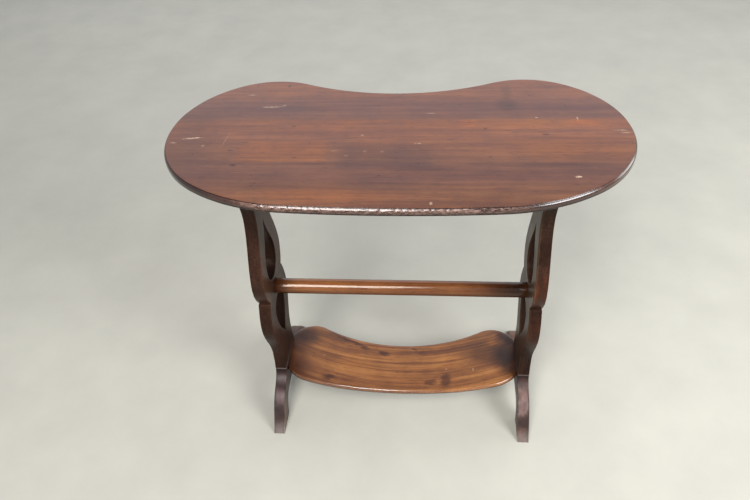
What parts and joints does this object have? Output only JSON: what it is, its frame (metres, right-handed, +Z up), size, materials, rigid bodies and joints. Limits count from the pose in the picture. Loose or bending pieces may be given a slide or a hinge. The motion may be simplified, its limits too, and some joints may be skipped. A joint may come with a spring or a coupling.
{
  "type": "kidney table",
  "caption": "Kidney-shaped occasional table: moulded top on two lyre-shaped end boards with arched feet, a round stretcher and a kidney-shaped shelf.",
  "frame": {"origin": "on the floor under the middle of the top", "axes": "+X along the table to its right, +Y towards the hollow side at the back, +Z up"},
  "size_m": [0.816, 0.408, 0.698],
  "materials": {
    "top_wood": "satin reddish-brown polish over mahogany, straight grain along the table",
    "end_wood": "very dark brown polish, glossy on the faces and worn at the toes",
    "rod_wood": "glossy orange-brown polish",
    "shelf_wood": "satin orange-brown polish with wavy grain and dark stains",
    "dowel_wood": "bare beech",
    "screw_steel": "dull old steel"
  },
  "bodies": {
    "root": {"top_board_front": "top_wood", "top_board_middle": "top_wood", "top_board_back": "top_wood", "top_dowels": "dowel_wood", "bearer_left": "end_wood", "bearer_right": "end_wood", "bearer_screws": "screw_steel", "lyre_left": "end_wood", "lyre_right": "end_wood", "head_dowels": "dowel_wood", "foot_left": "end_wood", "foot_right": "end_wood", "ankle_dowels": "dowel_wood", "stretcher": "rod_wood", "shelf": "shelf_wood", "shelf_dowels": "dowel_wood"}
  },
  "joints": []
}
